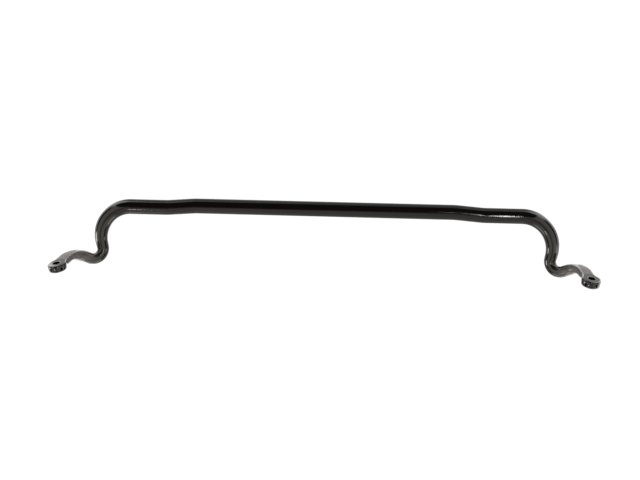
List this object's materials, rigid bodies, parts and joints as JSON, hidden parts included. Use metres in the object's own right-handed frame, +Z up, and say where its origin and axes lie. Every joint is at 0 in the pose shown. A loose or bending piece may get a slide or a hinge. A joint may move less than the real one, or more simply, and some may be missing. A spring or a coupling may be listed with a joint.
{
  "type": "sway bar",
  "caption": "One-piece bent spring-steel anti-roll bar with jogged bushing seats and forged flat ends, each drilled for an end link.",
  "frame": {"origin": "middle of the underside of the bar as it lies on its side on a bench, midway between the two eyes", "axes": "+X along the bar to the right eye, +Y from the legs towards the torsion bar, +Z up, the way the drilled arms stand"},
  "size_m": [1.0744, 0.1408, 0.1262],
  "materials": {
    "gloss_black_paint": "smooth gloss black paint over forged spring steel"
  },
  "bodies": {
    "root": {"sway_bar": "gloss_black_paint"}
  },
  "joints": []
}
